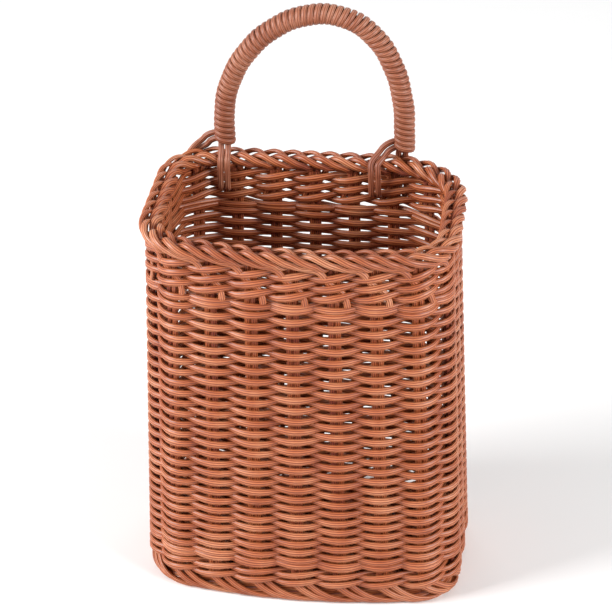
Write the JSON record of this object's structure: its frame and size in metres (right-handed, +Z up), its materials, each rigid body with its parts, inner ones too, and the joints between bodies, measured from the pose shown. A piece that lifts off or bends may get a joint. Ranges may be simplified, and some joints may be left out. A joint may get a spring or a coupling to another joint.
{
  "type": "wall basket",
  "caption": "Tall woven wall basket with a flat back, bowed front, rolled rim border and a strand-wrapped arched handle that rocks on lashings at the back rim.",
  "frame": {"origin": "on the floor under the middle of the basket's foot", "axes": "+Z up along the wall and handle, +X to the right seen from the front, +Y towards the wall that the flat back hangs against"},
  "size_m": [0.1894, 0.1356, 0.3242],
  "materials": {
    "upright_strand": "satin ribbed plastic strand",
    "weaver_strand": "satin ribbed plastic strand",
    "wale_strand": "satin ribbed plastic strand",
    "base_strand": "satin ribbed plastic strand",
    "core_strand": "satin ribbed plastic strand",
    "wrap_strand": "satin ribbed plastic strand"
  },
  "bodies": {
    "basket": {"upright_01": "upright_strand", "upright_02": "upright_strand", "upright_03": "upright_strand", "upright_04": "upright_strand", "upright_05": "upright_strand", "upright_06": "upright_strand", "upright_07": "upright_strand", "upright_08": "upright_strand", "upright_09": "upright_strand", "upright_10": "upright_strand", "upright_11": "upright_strand", "upright_12": "upright_strand", "upright_13": "upright_strand", "upright_14": "upright_strand", "upright_15": "upright_strand", "upright_16": "upright_strand", "upright_17": "upright_strand", "upright_18": "upright_strand", "upright_19": "upright_strand", "upright_20": "upright_strand", "upright_21": "upright_strand", "upright_22": "upright_strand", "side_weaver_a_1": "weaver_strand", "side_weaver_a_2": "weaver_strand", "side_weaver_a_3": "weaver_strand", "side_weaver_b_1": "weaver_strand", "side_weaver_b_2": "weaver_strand", "side_weaver_b_3": "weaver_strand", "upper_wale_1_a": "wale_strand", "upper_wale_1_b": "wale_strand", "upper_wale_2_a": "wale_strand", "upper_wale_2_b": "wale_strand", "upper_wale_3_a": "wale_strand", "upper_wale_3_b": "wale_strand", "foot_wale_1_a": "wale_strand", "foot_wale_1_b": "wale_strand", "foot_border": "upright_strand", "base_stick_1": "base_strand", "base_stick_2": "base_strand", "base_stick_3": "base_strand", "base_stick_4": "base_strand", "base_stick_5": "base_strand", "base_stick_6": "base_strand", "base_stick_7": "base_strand", "base_weaver": "base_strand", "lashing_left": "wrap_strand", "lashing_right": "wrap_strand"},
    "handle": {"handle_core": "core_strand", "handle_wrap": "wrap_strand"}
  },
  "joints": [
    {"name": "handle_swing", "type": "hinge", "parent": "basket", "child": "handle", "pos_m": [0, 0.05625, 0.2341], "axis": [1, 0, 0], "range_deg": [-20, 20]}
  ]
}
